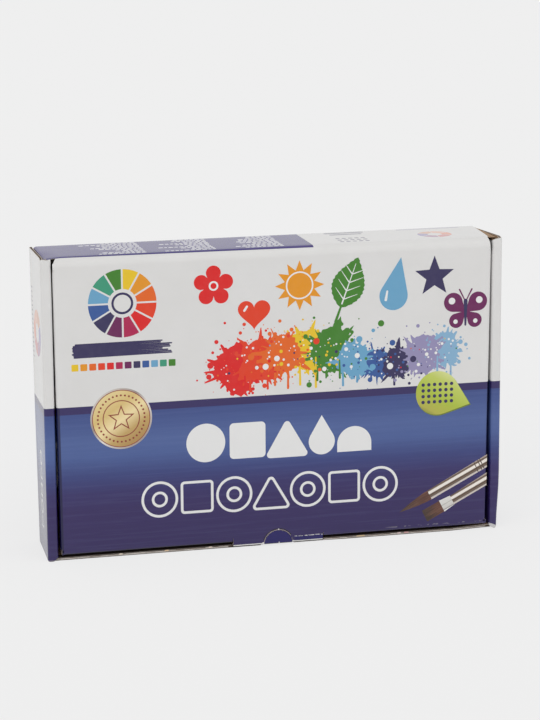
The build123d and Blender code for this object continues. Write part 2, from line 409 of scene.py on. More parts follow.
def hole_shade(shader, colour, place):
    """Board in the holes at the lid's upper corners, under the tongue and in the slit below the lid's foot,
    blackened by the shade there. The slit closes towards its right end."""
    x, y, z = place
    across = x.math("ABSOLUTE")
    inside = across.band(lid_half - 3.4, lid_half + 1.0, 0.3) * z.band(top_z - 7, top_z - 0.5, 0.2)
    under = across.below(tongue_half) * z.below(tongue_bottom_z + 0.5)
    closing = 1 - x.smooth(lid_half - 18, lid_half - 1) * 0.8
    slit = z.band(board - 0.2, lid_bottom_z, 0.1) * across.above(tongue_half) * closing
    shade = inside.at_least(under * 0.8).at_least(slit) * y.below(face_y + 6) * 0.9
    return shader.mix(shade, colour, linear(28, 22, 20))


def kraft(name, dark, pale):
    """Bare brown paper: long fibres, flecks, and the flutes showing through, with shade painted black in the
    corner holes, under the tongue and in the slit below the lid's foot.
    """
    shader = Shader(name)
    place = shader.rest_place()
    fibre = shader.noise(place, 0.45, 4, stretch=(6, 2, 1))
    cloud = shader.noise(place, 9, 2)
    fleck = shader.noise(place, 0.8, 1).smooth(0.68, 0.74)
    colour = shader.mix(fibre * 0.7 + cloud * 0.3, dark, pale)
    colour = hole_shade(shader, shader.mix(fleck * 0.5, colour, linear(86, 62, 42)), place)
    height = fibre * 0.02 + place[2].wave(flute_pitch) * 0.008
    return shader.finish(colour, 0.82, height, Specular_IOR_Level=0.25)


def liner_edge():
    """The cut edge of a liner: pale paper with a brown core, with shade painted dark along the foot of the
    box and in the holes.
    """
    shader = Shader("liner_edge")
    place = shader.rest_place()
    x, y, z = place
    fray = shader.noise(place, 0.6, 3)
    colour = shader.mix(fray, linear(166, 154, 142), linear(212, 205, 198))
    # Painted shade along the foot of the box, where the lowest liner lies in shadow.
    foot_shade = z.below(0.4) * y.below(face_y + 4) * 0.75
    colour = hole_shade(shader, shader.mix(foot_shade, colour, linear(70, 64, 62)), place)
    return shader.finish(colour, 0.85, fray * 0.04, Specular_IOR_Level=0.2)


def ink_and_shadow_shader():
    """Printed ink under the same varnish; the painted shadow lines by the tongue are drawn with it too. Each
    shape keeps its colour in the attribute "ink".
    """
    shader = Shader("ink_and_painted_shadow")
    place = shader.own_place()
    thin = shader.noise(place, 5, 3).smooth(0.35, 0.75) * 0.012 + shader.noise(place, 0.35, 1) * 0.006
    colour = shader.mix(thin, shader.attribute("ink"), linear(232, 228, 220))
    return varnish(shader, colour, place, place[2])


def directed(place, heading, start):
    """How far a point is along and across a direction on the lid's face, from a start."""
    angle = math.radians(heading)
    u, v = place[0] - start[0], place[2] - start[1]
    return u * math.cos(angle) + v * math.sin(angle), v * math.cos(angle) - u * math.sin(angle)


def shaded_ink(name, heading, start, length, stops, hatch=0):
    """Ink that changes along a direction on the lid's face, from its start over its length.

    hatch is the strength of the fine printed hatching across it."""
    shader = Shader("ink_" + name)
    place = shader.own_place()
    along, across = directed(place, heading, start)
    waver = shader.noise((along, across, along), 1.6, 3, stretch=(9, 0.25, 9)) - 0.5
    colour = shader.ramp(along / length + waver * 0.03 + across.wave(0.75) * hatch, stops)
    return varnish(shader, colour, place, place[2])


def hair_ink(name, heading, tip, length):
    """Brush hair: dark at the tip, redder at the ferrule, with fine hairs along it."""
    shader = Shader("ink_" + name)
    place = shader.own_place()
    along, across = directed(place, heading, tip)
    hairs = shader.noise((along, across, along), 0.5, 3, stretch=(24, 0.6, 24))
    colour = shader.mix((along / length).smooth(0, 1), linear(54, 42, 36), linear(96, 58, 46))
    colour = shader.mix(hairs.smooth(0.45, 0.7) * 0.3, colour, linear(150, 108, 82))
    colour = shader.mix(hairs.smooth(0.55, 0.3) * 0.35, colour, linear(48, 32, 26))
    return varnish(shader, colour, place, place[2])


PRINT = print_by_height()
PRINT_TOP = print_on_top()
PRINT_INSIDE = print_inside()
KRAFT = kraft("kraft_inside", linear(140, 112, 86), linear(176, 148, 118))
MEDIUM = kraft("kraft_medium", linear(88, 70, 56), linear(122, 98, 80))
EDGE = liner_edge()
INK_AND_PAINTED_SHADOW = ink_and_shadow_shader()


# Boards

class FoldLine:
    """The printed surface of a folded board in cross-section, by the length along it.

    Its legs are straight runs, or bends as (radius, degrees) that turn left. The board is on its left."""

    def __init__(self, start, heading, *legs):
        self.legs = []
        self.bends = []
        self.length = 0.0
        place, angle = Vector(start), math.radians(heading)
        for leg in legs:
            radius, turn = leg if isinstance(leg, tuple) else (None, None)
            run = radius * math.radians(turn) if radius else leg
            self.legs.append((self.length, radius, place, angle))
            if radius:
                self.bends.append((self.length, self.length + run))
            self.length += run
            place, angle = self.walk(self.length)
        self.end, self.heading = place, math.degrees(angle)

    def walk(self, length):
        """The place and heading after a length."""
        before = [leg for leg in self.legs if leg[0] <= length] or self.legs[:1]
        start, radius, place, angle = before[-1]
        run = length - start
        ahead = Vector((math.cos(angle), math.sin(angle)))
        left = Vector((-ahead.y, ahead.x))
        if radius is None:
            return place + ahead * run, angle
        turn = run / radius
        return place + radius * (math.sin(turn) * ahead + (1 - math.cos(turn)) * left), angle + turn

    def at(self, length, depth):
        """The point at a depth below the printed surface."""
        place, angle = self.walk(length)
        return place + depth * Vector((-math.sin(angle), math.cos(angle)))

    def cuts(self):
        """Where the board is divided so that its bends are round."""
        steps = 8
        return [start + (end - start) * step / steps
                for start, end in self.bends for step in range(steps + 1)]


def across_box(a, b, v):
    """Places a board whose section is seen from the box's side."""
    return v, a, b


def from_above(sign):
    """Places a board whose section is seen from above, on the right (1) or the left (-1)."""
    return lambda a, b, v: (sign * a, b, v)


def from_front(sign):
    """Places a board whose section is seen from the front, on the right (1) or the left (-1)."""
    return lambda a, b, v: (sign * a, v, b)


def even(low, high, step):
    """Evenly spaced values strictly between two ends."""
    count = max(1, round((high - low) / step))
    return [low + (high - low) * number / count for number in range(1, count)]


def soft_step(value, low, high):
    """0 below low, 1 above high, and a soft step between them."""
    share = min(1, max(0, (value - low) / (high - low)))
    return share * share * (3 - 2 * share)


def around(centre, radius, angle):
    """The point at a radius and an angle from a centre."""
    return centre[0] + radius * math.cos(angle), centre[1] + radius * math.sin(angle)


def arc(centre, radius, start, end, steps):
    """Points on an arc, with angles in degrees from the first coordinate."""
    angles = [math.radians(start + (end - start) * step / steps) for step in range(steps + 1)]
    return [around(centre, radius, angle) for angle in angles]


def rectangle(s_low, s_high, v_low, v_high):
    return [(s_low, v_low), (s_high, v_low), (s_high, v_high), (s_low, v_high)]


def add_paper(target, line, place, outline, cuts, holes, depths, wave, materials):
    """Adds one paper of a board: its flat outline, divided, given its thickness and folded."""
    flat = bmesh.new()
    flat.faces.new([flat.verts.new((s, v, 0)) for s, v in outline])
    for axis, values in enumerate(cuts):
        normal = Vector((axis == 0, axis == 1, 0))
        for value in values:
            whole = flat.verts[:] + flat.edges[:] + flat.faces[:]
            bmesh.ops.bisect_plane(flat, geom=whole, dist=1e-4, plane_co=normal * value, plane_no=normal)
    middles = [(face, face.calc_center_median()) for face in flat.faces]
    gone = [face for face, middle in middles for (s0, s1), (v0, v1) in holes
            if s0 < middle.x < s1 and v0 < middle.y < v1]
    bmesh.ops.delete(flat, geom=gone, context="FACES")
    grown = bmesh.ops.extrude_face_region(flat, geom=flat.faces[:], use_keep_orig=True)["geom"]
    for part in grown:
        if isinstance(part, bmesh.types.BMVert):
            part.co.z = 1
    for face in flat.faces:
        levels = [vert.co.z for vert in face.verts]
        side = 0 if max(levels) < 0.5 else 1 if min(levels) > 0.5 else 2
        face.material_index = materials[side]
    for vert in flat.verts:
        s, v, level = vert.co
        depth = depths[0] + level * (depths[1] - depths[0]) + wave(s, v)
        vert.co = Vector(place(*line.at(s, depth), v))
    bmesh.ops.recalc_face_normals(flat, faces=flat.faces[:])
    paper = bpy.data.meshes.new("paper")
    flat.to_mesh(paper)
    flat.free()
    target.from_mesh(paper)
    bpy.data.meshes.remove(paper)


def make_object(name, builder, materials, smooth_angle=35):
    """Turns a bmesh in millimetres into an object in metres."""
    bmesh.ops.scale(builder, vec=(MM, MM, MM), verts=builder.verts[:])
    mesh = bpy.data.meshes.new(name)
    builder.to_mesh(mesh)
    builder.free()
    for material in materials:
        mesh.materials.append(material)
    mesh.shade_smooth()
    mesh.set_sharp_from_angle(angle=math.radians(smooth_angle))
    piece = bpy.data.objects.new(name, mesh)
    bpy.context.scene.collection.objects.link(piece)
    return piece


def fluted_board(name, node, body, line, place, outline, skin, flutes="v", spread=(), dents=(), holes=(),
                 warps=()):
    """A piece of corrugated board: outer liner, wavy medium and inner liner.

    node is the CAD node that it replaces and body what it rides on, if any. flutes is the direction of the
    outline that they run along. spread and dents are extra cuts. The attribute "rest" keeps where each
    point is before the board is warped or moved, for the print to read."""
    builder = bmesh.new()
    bends = line.cuts() + list(dents)
    hole_s = [value for span, other in holes for value in span]
    hole_v = [value for other, span in holes for value in span]
    plain = (bends + hole_s, list(spread) + hole_v)
    axis = 0 if flutes == "v" else 1
    ends = [point[axis] for point in outline]
    waves = even(min(ends), max(ends), flute_pitch / 6)
    wavy = (waves + hole_s, plain[1]) if axis == 0 else (plain[0], waves + hole_v)
    rise = lambda *flat: flute_height * math.sin(2 * math.pi * flat[axis] / flute_pitch)
    level = lambda *flat: 0
    middle = (board - medium_paper) / 2
    for cuts, depths, wave, numbers in ((plain, (0, liner), level, (0, 2, 2)),
                                        (wavy, (middle, middle + medium_paper), rise, (3, 3, 3)),
                                        (plain, (board - liner, board), level, (2, 1, 2))):
        add_paper(builder, line, place, outline, cuts, holes, depths, wave, numbers)
    rest = builder.verts.layers.float_vector.new("rest")
    for vert in builder.verts:
        vert[rest] = vert.co * MM
        for warp in warps:
            vert.co = warp(vert.co)
    piece = make_object(name, builder, [skin, KRAFT, KRAFT if skin is KRAFT else EDGE, MEDIUM])
    if node:
        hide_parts(node)
    "bare_board" if skin in (KRAFT, PRINT_INSIDE) else "printed_board"
    if body:
        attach(piece, body)
    return piece


def flare(point):
    """The side walls stand open a little towards the lid, the left one most at its foot.

    The right one's front corner is pressed in at its foot."""
    lean = 1.1 if point.x > 0 else 1.4 * (1 - point.z / top_z)
    depth = (point.y - face_y) / (rear_y - face_y)
    share = soft_step(abs(point.x), inner_low.x - 1, side_x - 1.5)
    pressed = 1.3 * (1 - depth) * (1 - soft_step(point.z, 0, 30)) * soft_step(point.x, inner_high.x, side_x)
    return point - Vector((math.copysign(lean * depth * share, point.x) + pressed, 0, 0))


def corner_dip(point):
    """The top's front left corner sags a little beside the side wall."""
    share = soft_step(-point.x, 109, 118.5) * (1 - soft_step(point.y, face_y + 5, face_y + 24))
    return point - Vector((0, 0, 0.6 * share))


def draw_in(point):
    """The lid's side edges stand a little further from the rims towards their foot, the right one most."""
    share = soft_step(abs(point.x), 100, 112) * (1 - point.z / top_z)
    share *= 1 - soft_step(point.y, face_y + 2, face_y + 14)
    return point - Vector(((1.6 if point.x > 0 else -0.8) * share, 0, 0))


def front_curl(point):
    """The front wall's raw edge curls up to the lid at its right end."""
    near_edge = 1 - soft_step(point.y, face_y, face_y + 16)
    low = 1 - soft_step(point.z, 2, 12)
    return point + Vector((0, 0, 0.7 * soft_step(point.x, 94, wall_end_x) * near_edge * low))


def tongue_dent(point):
    """The right end of the pull tongue is pushed in along a line."""
    low = max(0, dent_z - point.z)
    along = soft_step(point.x, 6, 9) * (1 - soft_step(point.x, 24.2, 30))
    near = 1 - soft_step(point.y, lid_inner_y + 1.5, lid_inner_y + 14)
    return point + Vector((0, 0.16 * low * along * near, 0))


# Cuts along X that let the boards follow the warps
CURL_CUTS = even(-wall_end_x, wall_end_x, 12)
FLARE_CUTS = [side * x for side in (-1, 1) for x in even(inner_low.x - 1, side_x - 1.5, 1)]
DIP_CUTS = [-112, -110]
LID_CUTS = [-112, -108, -16, 8.6, 12, 20, 108, 112]


def back_wall():
    """The top face, with the fold to the bottom at the rear and the soft fold to the lid in front."""
    bend_end = fold_radius * math.radians(90)
    flat = (rear_y - fold_radius) - (face_y + crease_radius)
    line = FoldLine((rear_y, top_z - fold_radius), 90, (fold_radius, 90), flat, (crease_radius, 60))
    front_s = bend_end + flat
    lip_s, left_hole_s, right_hole_s = front_s + 3.4, front_s + 1.6, front_s + 0.6
    outline = [(0, -fold_start_x), (lip_s, -fold_start_x), (lip_s, -lid_half - 0.5),
               (left_hole_s, -lid_half - 0.4), (left_hole_s, 2.2 - lid_half), (line.length, 0.5 - lid_half),
               (line.length, lid_half - 0.8), (right_hole_s + 1.4, lid_half - 1.4),
               (right_hole_s, lid_half - 1.0), (right_hole_s, fold_start_x - wedge),
               (bend_end, fold_start_x), (0, fold_start_x)]
    fluted_board("top_board", "back_wall", "root", line, across_box, outline, PRINT_TOP,
                 spread=FLARE_CUTS + DIP_CUTS, dents=even(bend_end, front_s, 4),
                 warps=[flare, corner_dip])
    return line


def front_wall():
    """The wall that the box stands on, with the thumb notch in its raw edge."""
    line = FoldLine((front_low.y, 0), 0, rear_y - fold_radius - front_low.y, (fold_radius, 90))
    mouth, root, deep = 9.0, 7.0, 9.0
    outline = [(0, -fold_start_x), (0, -mouth), (deep, -root), (deep, root), (0, mouth), (0, fold_start_x),
               (line.length, fold_start_x), (line.length, -fold_start_x)]
    fluted_board("front_board", "front_wall", "root", line, across_box, outline, PRINT,
                 spread=CURL_CUTS + FLARE_CUTS, warps=[flare, front_curl, tongue_dent])


def bottom_panel():
    """The bottom, upright at the rear, with the slots for the lock tabs."""
    line = FoldLine((rear_y, fold_radius), 90, top_z - 2 * fold_radius)
    half = side_x - fold_radius
    reach_s, reach_v = tab_half + slot_room, board / 2 + slot_room
    slots = [(z - fold_radius, side * (inner_low.x + board / 2)) for z in tab_middles for side in (-1, 1)]
    holes = [((s - reach_s, s + reach_s), (v - reach_v, v + reach_v)) for s, v in slots]
    fluted_board("bottom_board", "bottom_panel", "root", line, across_box,
                 rectangle(0, line.length, -half, half), PRINT, spread=FLARE_CUTS, holes=holes,
                 warps=[flare])


def side_wall(side, sign):
    """One side wall: outer leaf, rolled rim and inner leaf with its lock tabs."""
    place = from_above(sign)
    steps = even(0, top_z, 8)
    turn_y = face_y + fold_radius
    outer = FoldLine((side_x, turn_y), 90, rear_y - fold_radius - turn_y, (fold_radius, 90))
    rear_high = outer_high.z - (1.3 if side == "right" else 0)
    outline = [(0, outer_low.z + 0.3), (outer.length, outer_low.z), (outer.length, rear_high),
               (3, top_z - 0.05), (1, top_z - 0.5), (0, top_z - 1.3)]
    fluted_board(side + "_outer_board", side + "_outer_wall", "root", outer, place, outline, PRINT,
                 flutes="s", spread=steps, warps=[flare])

    rim = FoldLine((inner_low.x, turn_y), -90, (fold_radius, 90), side_x - inner_low.x - 2 * fold_radius,
                   (fold_radius, 90))
    end = rim.length
    if side == "left":
        outline = [(0, 2.2), (1.8, 1.6), (end - 4.2, 0.3), (end - 3.2, 0.1), (end - 1.6, 0.15), (end, 0.7)]
    else:
        outline = [(0, 1.9), (end - 3.6, 0.2), (end - 2.8, 0.15), (end, 1.5)]
    outline += [(end, top_z - 1.3), (end - 0.6, top_z - 0.6), (end - 1.6, top_z - 0.25),
                (2.4, top_z - 0.9), (0.7, top_z - 1.4), (0, top_z - 2.2)]
    fluted_board(side + "_rim_board", side + "_rolled_rim", "root", rim, place, outline, PRINT,
                 flutes="s", spread=steps, warps=[flare])

    tab_end = rear_y - 0.1
    inner = FoldLine((inner_low.x, tab_end), -90, tab_end - turn_y)
    root_s = tab_end - bottom_low.y
    outline = [(inner.length, inner_low.z), (root_s, inner_low.z)]
    for z in tab_middles:
        low, high = z - tab_half, z + tab_half
        outline += [(root_s, low), (0.6, low), (0, low + 1), (0, high - 1), (0.6, high), (root_s, high)]
    outline += [(root_s, inner_high.z), (inner.length, inner_high.z)]
    fluted_board(side + "_inner_board", side + "_inner_wall", "root", inner, place, outline, PRINT_INSIDE,
                 flutes="s", warps=[flare])


def corner_flaps(side, sign):
    """The flaps that turn in from the end walls into the double side wall, with their folds.

    The right back one shows its bare side in a wedge beside the top board."""
    low, high = front_flap_low, front_flap_high
    line = FoldLine((fold_start_x, 0), 0, (fold_radius, 90), high.z - fold_radius)
    fluted_board(side + "_front_flap_board", side + "_front_corner_flap", "root", line, from_front(sign),
                 rectangle(0, line.length, low.y, high.y), PRINT, flutes="s",
                 spread=even(low.y, high.y, 6), warps=[flare, front_curl])

    low, high = back_flap_low, back_flap_high
    skin, sunk, shown = (KRAFT, 0.2, wedge) if side == "right" else (PRINT_TOP, 0, 0)
    line = FoldLine((wall_end_x, low.z), 90, top_z - sunk - fold_radius - low.z, (fold_radius, 90), shown)
    front_y = low.y + 0.3
    outline = [(0, front_y), (line.length, front_y), (line.length - shown, high.y), (0, high.y)]
    fluted_board(side + "_back_flap_board", side + "_back_corner_flap", "root", line, from_front(sign),
                 outline, skin, flutes="s", spread=even(front_y, high.y, 4), warps=[flare, corner_dip])


def lid_outline():
    """The lid's flat outline as (distance below its top edge, x)."""
    ear_foot = ear_low.z
    inset = lid_half - crease_reach
    notch_z = lid_bottom_z + 0.3
    strip_z = lid_bottom_z + crease_reach
    right = [(lid_top_z, inset), (ear_foot, inset), (ear_foot, lid_half - 0.6), (notch_z, lid_half - 0.6),
             (notch_z, tuck_half), (strip_z, tuck_half), (strip_z, tongue_half + tongue_slit),
             (strip_z - 0.2, tongue_half), (tongue_bottom_z + tongue_rise, tongue_half)]
    reach = math.degrees(math.acos(tongue_rise / thumb_radius))
    right += arc((tongue_bottom_z, 0), thumb_radius, reach, 0, 12)
    left = [(z, -x) for z, x in reversed(right[:-1])]
    return [(lid_top_z - z, x) for z, x in right + left]


def lid():
    """The lid's face with its pull tongue, and the half-moon in it."""
    line = FoldLine((face_y, lid_top_z), -90, lid_top_z - tongue_bottom_z)
    dent_s = lid_top_z - dent_z
    fluted_board("lid_board", "lid_panel", "lid", line, across_box, lid_outline(), PRINT, spread=LID_CUTS,
                 dents=(dent_s, dent_s - 0.6, lid_top_z - 10), warps=[tongue_dent, draw_in])

    radius = thumb_radius - 0.25
    line = FoldLine((face_y, tongue_bottom_z + radius), -90, radius)
    reach = math.degrees(math.acos(tongue_rise / radius))
    moon = [(radius - z, x) for z, x in arc((0, 0), radius, -reach, reach, 24)]
    fluted_board("thumb_board", "thumb_tab", "thumb_tab", line, across_box, moon, PRINT)


def lid_crease(top_line):
    """The soft fold between the top face and the lid."""
    line = FoldLine(top_line.end, top_line.heading, (crease_radius, 30), crease_run)
    outline = [(0, lid_half - 0.8), (line.length, lid_half - 0.7), (line.length, 0.1 - lid_half),
               (0.6, 0.1 - lid_half), (0, 0.5 - lid_half)]
    piece = fluted_board("lid_crease_board", None, None, line, across_box, outline, PRINT)
    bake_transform(piece)


def tuck_flap():
    """The tuck flap and its crease on both sides of the tongue."""
    lean = 3.0
    slit_x = tongue_half + tongue_slit
    crease = FoldLine((face_y, lid_bottom_z + crease_reach), -90, crease_reach - fold_radius,
                      (fold_radius, 90 + lean), 1.2)
    for side, name in ((-1, "left"), (1, "right")):
        outline = rectangle(0, crease.length, *sorted((side * slit_x, side * tuck_half)))
        piece = fluted_board("tuck_crease_" + name, None, None, crease, across_box, outline, PRINT,
                             warps=[tongue_dent])
        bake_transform(piece)

    line = FoldLine(crease.end, lean, tuck_high.y - crease.end.x)
    corner = 9.0
    notch = lid_inner_y + lid_bottom_z - tongue_bottom_z + 0.4 - crease.end.x
    room, centre_s = thumb_radius + 1.2, lid_inner_y - crease.end.x
    outline = [(0, tuck_half), (0, slit_x), (notch, slit_x)]
    outline += arc((centre_s, 0), room, math.degrees(math.acos((notch - centre_s) / room)), 0, 8)
    outline += [(s, -v) for s, v in reversed(outline[:-1])]
    for side, start, end in ((-1, -90, 0), (1, 0, 90)):
        outline += arc((line.length - corner, side * (tuck_half - corner)), corner, start, end, 8)
    fluted_board("tuck_board", "lid_tuck_flap", "tuck_flap", line, across_box, outline, PRINT,
                 spread=(-16.0, 16.0))


def lid_ear(side, sign):
    """One ear of the lid, with its crease."""
    place = from_above(sign)
    lean = 5.0
    foot, top = ear_low.z, lid_top_z
    steps = even(foot, top, 16)
    crease = FoldLine((lid_half - crease_reach, face_y), 0, crease_reach - fold_radius,
                      (fold_radius, 90 + lean), 1.2)
    end = crease.length
    outline = [(0, foot), (2.4, foot), (end, foot + 0.3), (end, top - 7), (end - 1.4, top - 3), (2.4, top),
               (0, top)]
    piece = fluted_board(side + "_ear_crease", None, None, crease, place, outline, PRINT, flutes="s",
                         spread=steps, warps=[draw_in])
    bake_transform(piece)

    line = FoldLine(crease.end, 90 + lean, ear_high.y - crease.end.y)
    end = line.length
    corner, corner_foot, tip_top = 6.0, foot + 2.6, 113.0
    outline = [(0, foot + 0.3), (end - corner, corner_foot)]
    outline += arc((end - corner, corner_foot + corner), corner, -90, 0, 6)
    outline += [(end, tip_top - 5), (end - 1.2, tip_top - 1), (end - 4, tip_top + 4), (0, top - 7)]
    fluted_board(side + "_ear_board", side + "_lid_ear", side + "_ear", line, place, outline, PRINT,
                 flutes="s", spread=steps, warps=[draw_in])


top_line = back_wall()
front_wall()
bottom_panel()
lid()
lid_crease(top_line)
tuck_flap()
for side, sign in (("right", 1), ("left", -1)):
    side_wall(side, sign)
    corner_flaps(side, sign)
    lid_ear(side, sign)


# Print motifs, wear and painted shadow lines: thin sheets of ink, of which the later ones lie over the
# earlier ones

def on_lid(u, v, height):
    return u, face_y - height, v


def on_top(u, v, height):
    return u, v, top_z + height


def on_left(u, v, height):
    return -side_x - height, u, v


def on_raw_edge(u, v, height):
    return u, front_low.y - height, v


class Sheet:
    """Printed shapes on one face, and a few lines of painted shadow. An outline holds points in the face's
    own two directions.

    A shape's level, above the sheet's base, says what it lies over."""

    def __init__(self, name, place, base=0):
        self.name = name
        self.place = place
        self.base = base
        self.builder = bmesh.new()
        self.colour_layer = self.builder.loops.layers.float_color.new("ink")
        self.materials = [INK_AND_PAINTED_SHADOW]

    def press(self, faces, colour, level):
        """Gives flat faces the thickness and the colour of their ink."""
        number = 0
        if isinstance(colour, bpy.types.Material):
            if colour not in self.materials:
                self.materials.append(colour)
            number = self.materials.index(colour)
            colour = INK_WHITE
        grown = bmesh.ops.extrude_face_region(self.builder, geom=faces, use_keep_orig=True)["geom"]
        raised = [part for part in grown if isinstance(part, bmesh.types.BMVert)]
        for vert in raised:
            vert.co.z = (self.base + level) * ink_step
        for face in {face for vert in raised for face in vert.link_faces} | set(faces):
            face.material_index = number
            for loop in face.loops:
                loop[self.colour_layer] = colour

    def ring_of_verts(self, outline):
        return [self.builder.verts.new((u, v, -ink_root)) for u, v in outline]

    def fill(self, outline, colour, level=1):
        self.press([self.builder.faces.new(self.ring_of_verts(outline))], colour, level)

    def band(self, outer, inner, colour, level=1):
        """A shape with a hole in it, between two outlines."""
        edges = []
        for outline in (outer, inner):
            verts = self.ring_of_verts(outline)
            edges += [self.builder.edges.new(pair) for pair in zip(verts, verts[1:] + verts[:1])]
        self.press(bmesh.ops.bridge_loops(self.builder, edges=edges)["faces"], colour, level)

    def finish(self, body, warps=()):
        for vert in self.builder.verts:
            vert.co = Vector(self.place(*vert.co))
            for warp in warps:
                vert.co = warp(vert.co)
        bmesh.ops.recalc_face_normals(self.builder, faces=self.builder.faces[:])
        piece = make_object(self.name, self.builder, self.materials)
        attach(piece, body)


def disc(centre, radius, count=32):
    return arc(centre, radius, 0, 360 - 360 / count, count - 1)


def polar(centre, reach, count):
    """A closed outline whose reach is a function of the angle."""
    angles = [2 * math.pi * number / count for number in range(count)]
    return [around(centre, reach(angle), angle) for angle in angles]


def star(centre, reach, points, hollow):
    """A star that points up, whose inner corners are at the given share of its reach."""
    radii = (reach, reach * hollow) * points
    return [around(centre, radius, math.radians(90 + 180 * number / points))
            for number, radius in enumerate(radii)]


def soft_polygon(centre, reach, sides, corner):
    """A square or a triangle that stands on one side, with rounded corners."""
    outline = []
    run = reach - corner / math.cos(math.pi / sides)
    for number in range(sides):
        heading = (45 if sides == 4 else 90) + 360 * number / sides
        middle = around(centre, run, math.radians(heading))
        outline += arc(middle, corner, heading - 180 / sides, heading + 180 / sides, 6)
    return outline


def drop(centre, radius, tip):
    """A round drop drawn out to a tip."""
    away = Vector(tip) - Vector(centre)
    heading = math.degrees(math.atan2(away.y, away.x))
    half = math.degrees(math.acos(radius / away.length))
    return [tuple(tip)] + arc(centre, radius, heading + half, heading + 360 - half, 28)


def bar(start, end, start_radius, end_radius=None):
    """A bar with round ends, which may taper."""
    heading = math.degrees(math.atan2(end[1] - start[1], end[0] - start[0]))
    outline = arc(start, start_radius, heading + 90, heading + 270, 6)
    return outline + arc(end, end_radius or start_radius, heading - 90, heading + 90, 6)


def shares_of(centre, reach, side=1):
    """Turns shares of a figure's reach, counted from its centre, into points."""
    return lambda across, up: (centre[0] + side * reach * across, centre[1] + reach * up)


def colour_wheel(sheet, centre, radius, hues):
    """A ring of segments, one for each hue."""
    hole, gap, hole_gap = 0.42, 1.5, 3.5
    step = 360 / len(hues)
    for number, hue in enumerate(hues):
        start = 90 - number * step
        outer = arc(centre, radius, start - gap, start - step + gap, 5)
        inner = arc(centre, radius * hole, start - hole_gap, start - step + hole_gap, 4)
        sheet.fill(outer + inner[::-1], hue)


def emblem():
    """A colour wheel, a navy brush stroke and a row of colour squares, in the lid's upper left corner."""
    sheet = Sheet("lid_emblem", on_lid)
    centre = (-80, 132.5)
    stroke_left, stroke_right, stroke_foot = -106.4, -54.4, 105.9
    squares_left, squares_width, squares_v = -107.1, 54.4, 100.6
    colour_wheel(sheet, centre, 17.5, HUES)
    sheet.band(disc(centre, 5.6), disc(centre, 4.4), NAVY)
    chance = random.Random(4)
    for number in range(9):
        v = stroke_foot + number * 0.8
        left = stroke_left + chance.uniform(0, 1.2) + 0.3 * abs(number - 4)
        right = stroke_right - chance.uniform(0, 7)
        sheet.fill(bar((left, v), (right, v + 0.2), 0.5, 0.36), NAVY, 1 + number)
    for number, hue in enumerate(HUES):
        u = squares_left + squares_width / len(HUES) * (number + 0.5)
        sheet.fill(soft_polygon((u, squares_v), 2.5, 4, 0.4), hue)
    sheet.finish("lid")


def flower(sheet, centre, reach):
    petal = lambda angle: reach * (0.5 + 0.5 * abs(math.cos(2.5 * (angle - math.pi / 2))) ** 0.55)
    sheet.fill(polar(centre, petal, 100), RED)
    sheet.fill(disc(centre, reach * 0.24, 24), INK_WHITE, 2)
    sheet.fill(disc(centre, reach * 0.15, 20), RED, 3)


def heart(sheet, centre, size):
    at = shares_of(centre, size)
    outline = []
    for number in range(60):
        t = 2 * math.pi * number / 60
        up = 13 * math.cos(t) - 5 * math.cos(2 * t) - 2 * math.cos(3 * t) - math.cos(4 * t)
        outline.append(at(math.sin(t) ** 3 / 2, up / 32))
    sheet.fill(outline, VERMILION)
    sheet.fill(bar(at(-0.3, 0.08), at(-0.22, 0.2), size * 0.035), INK_WHITE, 2)


def sun(sheet, centre, reach):
    sheet.fill(star(centre, reach, 12, 0.62), AMBER)
    sheet.band(disc(centre, reach * 0.56), disc(centre, reach * 0.50), INK_WHITE, 2)


def leaf(sheet, foot, tip):
    """A pointed leaf on its stalk, with pale veins."""
    away = Vector(tip) - Vector(foot)
    left = Vector((-away.y, away.x)).normalized()
    width, stalk = away.length * 0.24, 0.22
    at = lambda share, side: tuple(Vector(foot) + away * share + left * side)
    edge = []
    for number in range(1, 24):
        share = number / 24
        tooth = 0.5 * (number % 2)
        edge.append((stalk + (1 - stalk) * share, width * math.sin(math.pi * share ** 0.8) + tooth))
    outline = [at(stalk, 0)] + [at(share, -side) for share, side in edge] + [tuple(tip)]
    sheet.fill(outline + [at(share, side) for share, side in reversed(edge)], GREEN)
    sheet.fill(bar(foot, at(stalk + 0.05, 0), 0.75, 0.5), GREEN, 2)
    sheet.fill(bar(at(stalk + 0.06, 0), at(0.9, 0), 0.38, 0.15), INK_WHITE, 3)
    for share in (0.36, 0.49, 0.62, 0.75):
        for side in (-1, 1):
            vein = bar(at(share, side * 0.5), at(share + 0.12, side * width * 0.72), 0.28, 0.1)
            sheet.fill(vein, INK_WHITE, 3)


def butterfly(sheet, centre, reach):
    for side in (-1, 1):
        at = shares_of(centre, reach, side)
        sheet.fill(drop(at(0.56, 0.40), reach * 0.42, at(0, -0.05)), PURPLE)
        sheet.fill(drop(at(0.42, -0.42), reach * 0.32, at(0, 0)), PURPLE, 2)
        sheet.fill(disc(at(0.62, 0.46), reach * 0.15, 20), INK_WHITE, 3)
        sheet.fill(disc(at(0.45, -0.46), reach * 0.10, 16), INK_WHITE, 3)
        sheet.fill(bar(at(0, 0.4), at(0.28, 0.95), 0.3, 0.4), PURPLE, 4)
    sheet.fill(bar(at(0, -0.62), at(0, 0.44), 0.5, 1.1), NAVY, 5)


def figures():
    """A row of plain figures over the lid's white part."""
    sheet = Sheet("lid_figures", on_lid, base=6)
    flower(sheet, (-33, 139), 10.5)
    heart(sheet, (-12, 124), 17)
    sun(sheet, (12, 137), 13)
    leaf(sheet, (31, 117), (43, 150))
    sheet.fill(drop((62, 129), 7.6, (66, 149)), LIGHT_BLUE)
    sheet.fill(bar((57.8, 127), (58.6, 131.5), 0.7, 0.5), INK_WHITE, 2)
    sheet.fill(star((84, 138), 11, 5, 0.42), NAVY)
    butterfly(sheet, (101, 119), 12)
    sheet.finish("lid")


